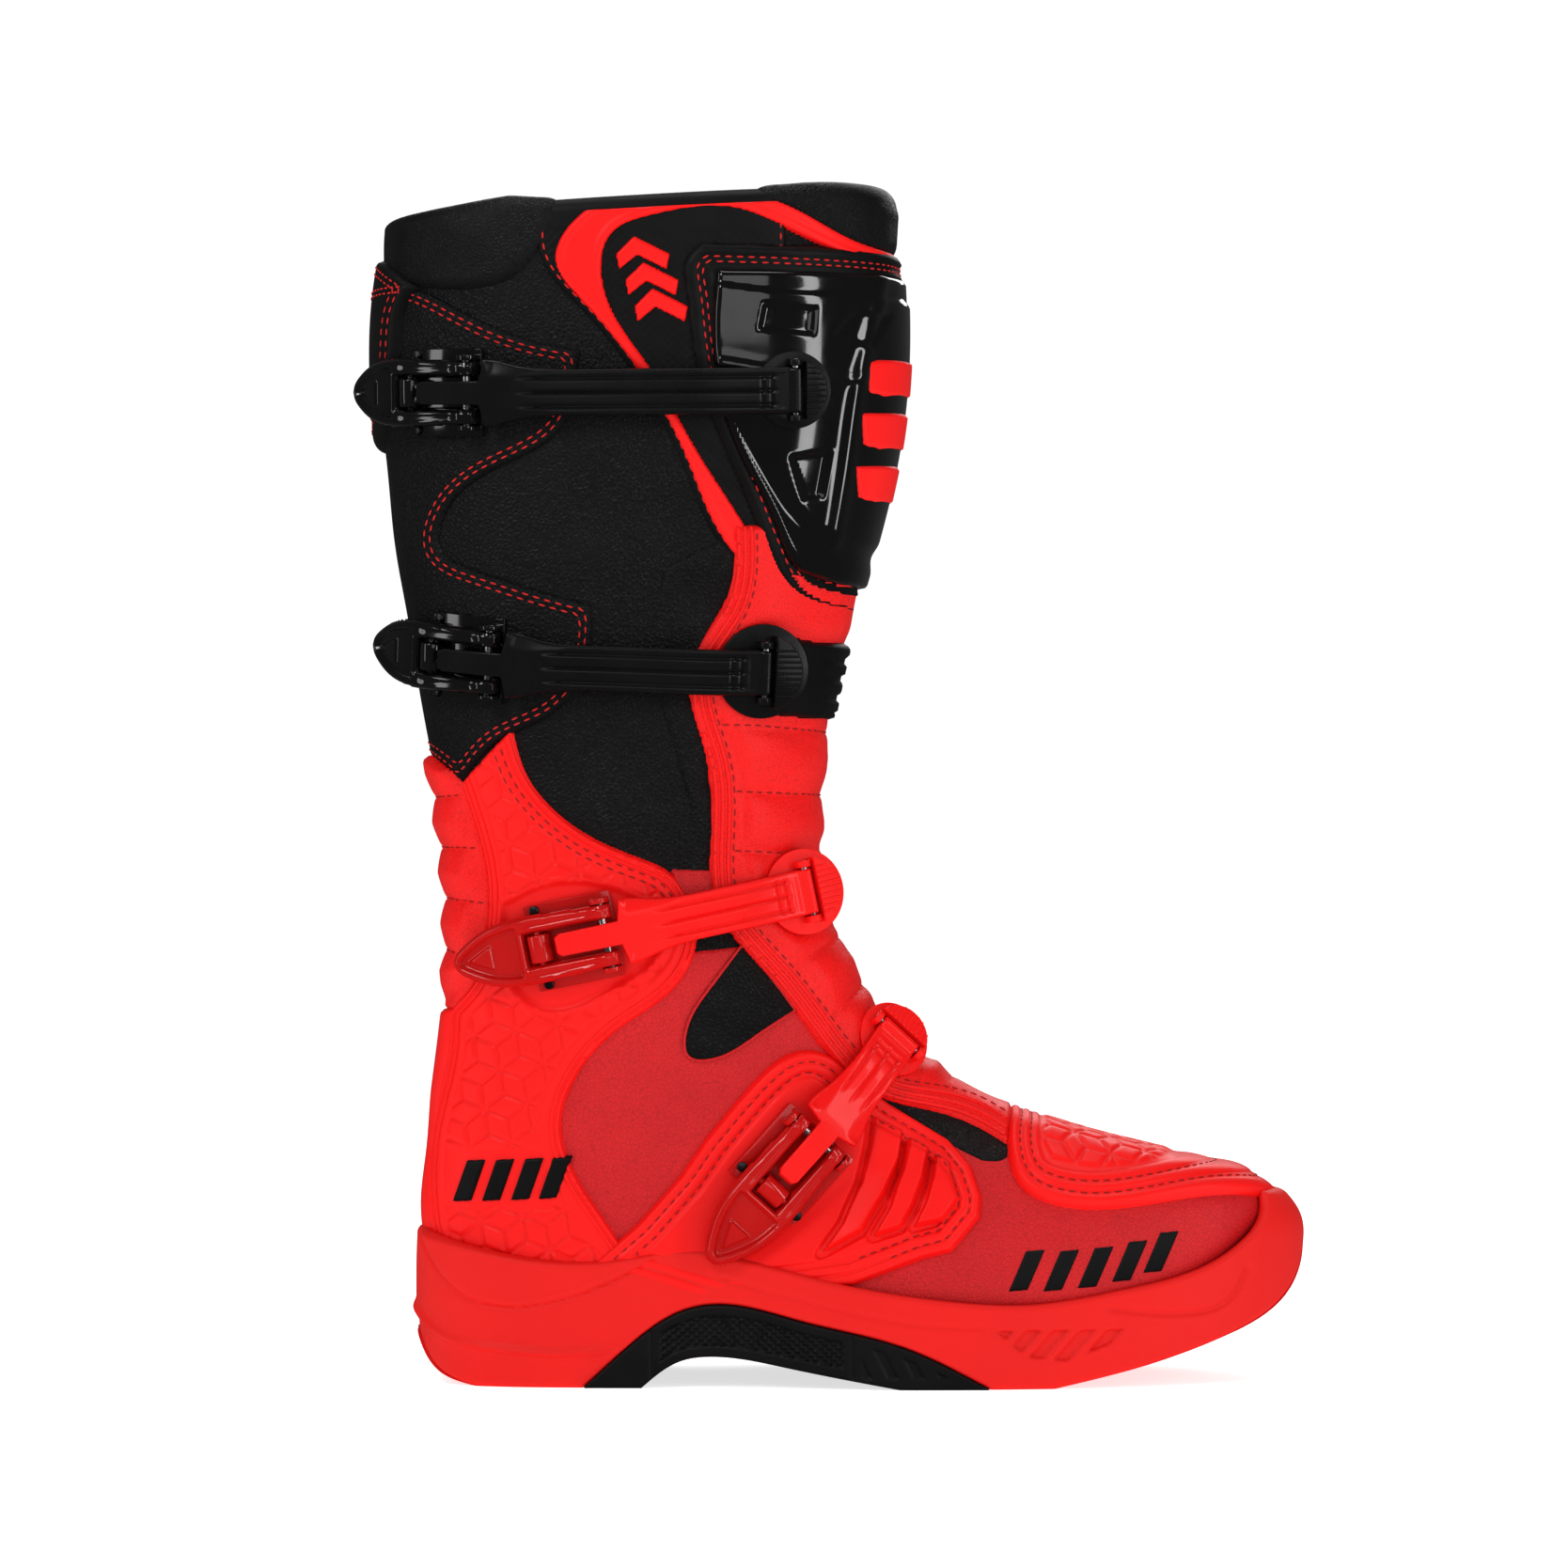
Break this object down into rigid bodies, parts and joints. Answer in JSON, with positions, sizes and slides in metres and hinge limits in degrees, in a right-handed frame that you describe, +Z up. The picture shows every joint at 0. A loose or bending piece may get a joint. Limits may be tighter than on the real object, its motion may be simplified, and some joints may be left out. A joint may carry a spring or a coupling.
{
  "type": "riding boot",
  "caption": "Tall off-road motorcycle boot with a moulded guarded upper, a cupped lug sole and hinged lever-and-strap buckles.",
  "frame": {"origin": "on the ground under the heel, in the middle of the heel's width", "axes": "+Z up the shaft, +X to the toe, -Y to the outer side of this right-foot boot"},
  "size_m": [0.3319, 0.1346, 0.4143],
  "materials": {
    "sole_rubber_red": "matte",
    "rubber_black": "matte",
    "spring_steel": "brushed",
    "board": "matte",
    "foam_fabric": "matte",
    "leather_red": "grained satin",
    "leather_black": "pebbled satin",
    "plastic_red": "gloss",
    "plastic_black": "gloss",
    "steel": "polished"
  },
  "bodies": {
    "boot": {"insole_board": "board", "footbed": "foam_fabric", "steel_shank": "spring_steel", "arch_insert": "rubber_black", "outsole": "sole_rubber_red", "shaft_shell": "leather_black", "foot_upper": "leather_red", "liner": "foam_fabric", "shin_plate": "plastic_black", "shin_plate_border": "leather_black", "front_flap": "leather_red", "collar_pad_rear": "leather_black", "collar_pad_front": "leather_black", "side_emblem_band": "plastic_red", "side_emblem_panel": "leather_black", "rear_patch": "plastic_black", "calf_panel": "leather_black", "flex_gusset": "leather_black", "rear_bellows": "leather_black", "heel_counter": "plastic_red", "ankle_guard_outer": "leather_red", "instep_guard": "plastic_red", "flex_window": "leather_black", "toe_cap": "plastic_red", "inner_heat_guard": "rubber_black", "ankle_guard_inner": "leather_red", "upper_calf_base": "plastic_black", "upper_calf_anchor": "plastic_black", "upper_calf_anchor_cover": "plastic_black", "lower_calf_base": "plastic_black", "lower_calf_anchor": "plastic_black", "lower_calf_anchor_cover": "plastic_black", "ankle_base": "plastic_black", "ankle_anchor": "plastic_black", "ankle_anchor_cover": "plastic_black", "instep_base": "plastic_black", "instep_anchor": "plastic_black", "instep_anchor_cover": "plastic_black", "lever_pins": "steel", "strap_pins": "steel", "rivets": "steel", "front_band": "plastic_black"},
    "upper_calf_lever_arm": {"upper_calf_lever": "plastic_black", "upper_calf_catch": "plastic_black"},
    "upper_calf_strap_band": {"upper_calf_strap": "plastic_black"},
    "lower_calf_lever_arm": {"lower_calf_lever": "plastic_black", "lower_calf_catch": "plastic_black"},
    "lower_calf_strap_band": {"lower_calf_strap": "plastic_black"},
    "ankle_lever_arm": {"ankle_lever": "plastic_red", "ankle_catch": "plastic_black"},
    "ankle_strap_band": {"ankle_strap": "plastic_red"},
    "instep_lever_arm": {"instep_lever": "plastic_red", "instep_catch": "plastic_black"},
    "instep_strap_band": {"instep_strap": "plastic_red"}
  },
  "joints": [
    {"name": "upper_calf_lever_hinge", "type": "hinge", "parent": "boot", "child": "upper_calf_lever_arm", "pos_m": [-0.02777, -0.06125, 0.34514], "axis": [-0.0081, -0.0734, 0.9973], "range_deg": [0, 100]},
    {"name": "upper_calf_strap_hinge", "type": "hinge", "parent": "boot", "child": "upper_calf_strap_band", "pos_m": [0.08583, -0.0609, 0.34609], "axis": [-0.0081, -0.0734, 0.9973], "range_deg": [0, 60]},
    {"name": "lower_calf_lever_hinge", "type": "hinge", "parent": "boot", "child": "lower_calf_lever_arm", "pos_m": [-0.02066, -0.05434, 0.25216], "axis": [0.0435, -0.1488, 0.9879], "range_deg": [0, 100]},
    {"name": "lower_calf_strap_hinge", "type": "hinge", "parent": "boot", "child": "lower_calf_strap_band", "pos_m": [0.07527, -0.04891, 0.24876], "axis": [0.0435, -0.1488, 0.9879], "range_deg": [0, 60]},
    {"name": "ankle_lever_hinge", "type": "hinge", "parent": "boot", "child": "ankle_lever_arm", "pos_m": [0.01984, -0.05197, 0.15779], "axis": [-0.2035, -0.024, 0.9788], "range_deg": [0, 100]},
    {"name": "ankle_strap_hinge", "type": "hinge", "parent": "boot", "child": "ankle_strap_band", "pos_m": [0.09039, -0.037, 0.17283], "axis": [-0.2035, -0.024, 0.9788], "range_deg": [0, 60]},
    {"name": "instep_lever_hinge", "type": "hinge", "parent": "boot", "child": "instep_lever_arm", "pos_m": [0.0931, -0.044, 0.08623], "axis": [-0.7291, -0.145, 0.6688], "range_deg": [0, 100]},
    {"name": "instep_strap_hinge", "type": "hinge", "parent": "boot", "child": "instep_strap_band", "pos_m": [0.12188, -0.02389, 0.12197], "axis": [-0.7291, -0.145, 0.6688], "range_deg": [0, 60]}
  ]
}
